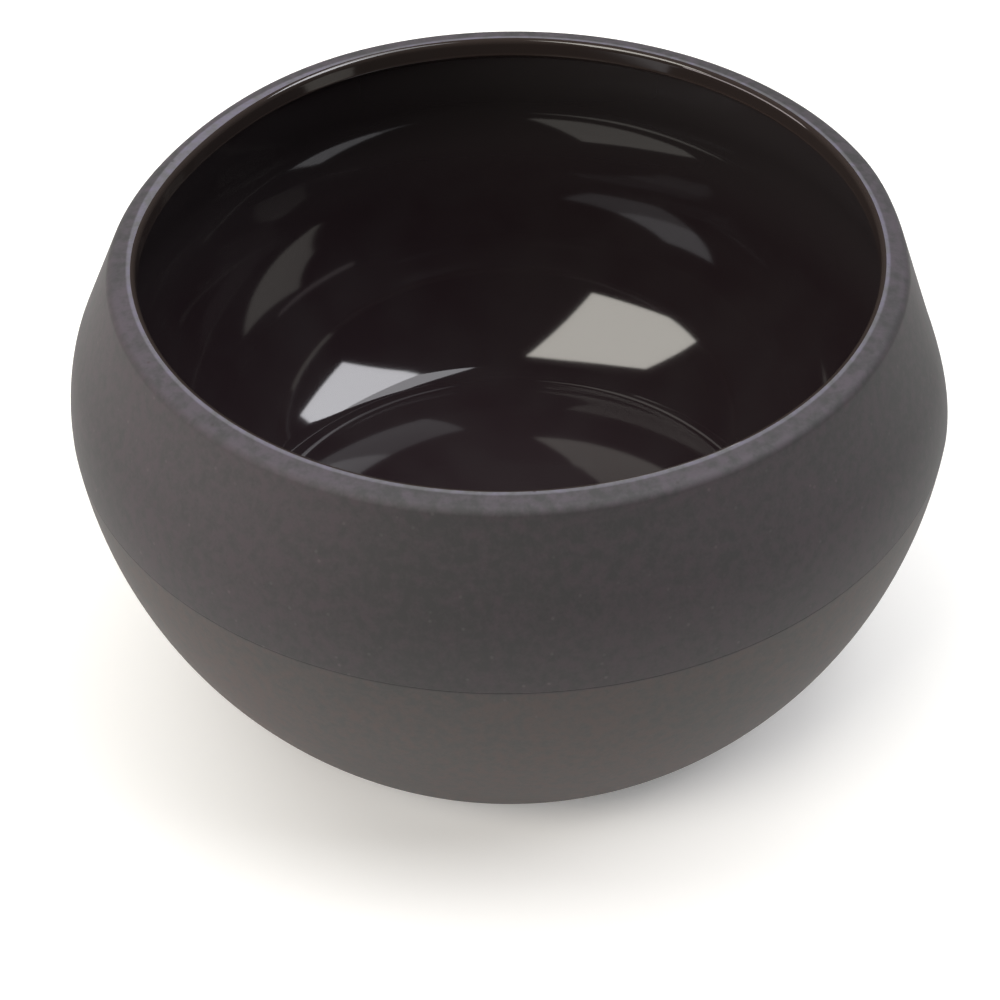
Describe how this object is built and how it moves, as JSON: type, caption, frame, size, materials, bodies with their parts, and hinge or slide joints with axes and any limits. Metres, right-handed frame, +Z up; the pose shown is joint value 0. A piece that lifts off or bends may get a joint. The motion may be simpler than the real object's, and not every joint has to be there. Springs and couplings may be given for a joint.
{
  "type": "porcelain bowl",
  "caption": "Small round porcelain bowl with an incurved lip, a matt dark grey body, a mould seam at its widest circle and a glossy brown-black glaze lining.",
  "frame": {"origin": "middle of the foot ring, on the table", "axes": "+Z up along the bowl's axis, out of its mouth; X and Y are level and alike, because the bowl is round"},
  "size_m": [0.12, 0.12, 0.0654],
  "materials": {
    "bare_porcelain": "matt unglazed fired porcelain, coloured through, with a very fine speckle",
    "dark_glaze": "glossy brown-black fired glaze"
  },
  "bodies": {
    "root": {"bowl_body": "bare_porcelain", "inside_glaze": "dark_glaze"}
  },
  "joints": []
}
